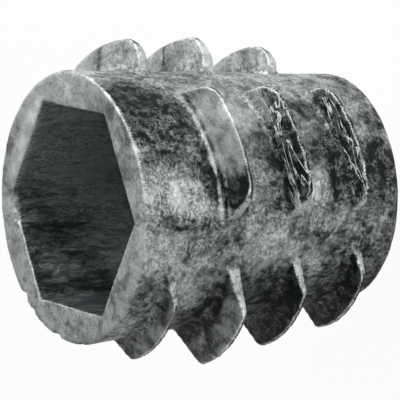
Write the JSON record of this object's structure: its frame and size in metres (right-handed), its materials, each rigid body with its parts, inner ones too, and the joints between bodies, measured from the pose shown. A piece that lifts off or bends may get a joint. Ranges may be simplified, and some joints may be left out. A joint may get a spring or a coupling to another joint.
{
  "type": "threaded insert",
  "caption": "Flush hex-drive threaded insert for wood: a die-cast barrel with a coarse interrupted outer thread, a hexagonal driving socket and a metric threaded bore.",
  "frame": {"origin": "on the axis, in the plane of the tip that the insert stands on", "axes": "+Z along the axis, from the tip to the head face with the driving socket; +X along one of the smooth lanes of the outer thread"},
  "size_m": [0.0124, 0.0123, 0.013],
  "materials": {
    "zinc": "as-cast zinc alloy, mottled grey oxide with polished crests"
  },
  "bodies": {
    "root": {"insert": "zinc"}
  },
  "joints": []
}
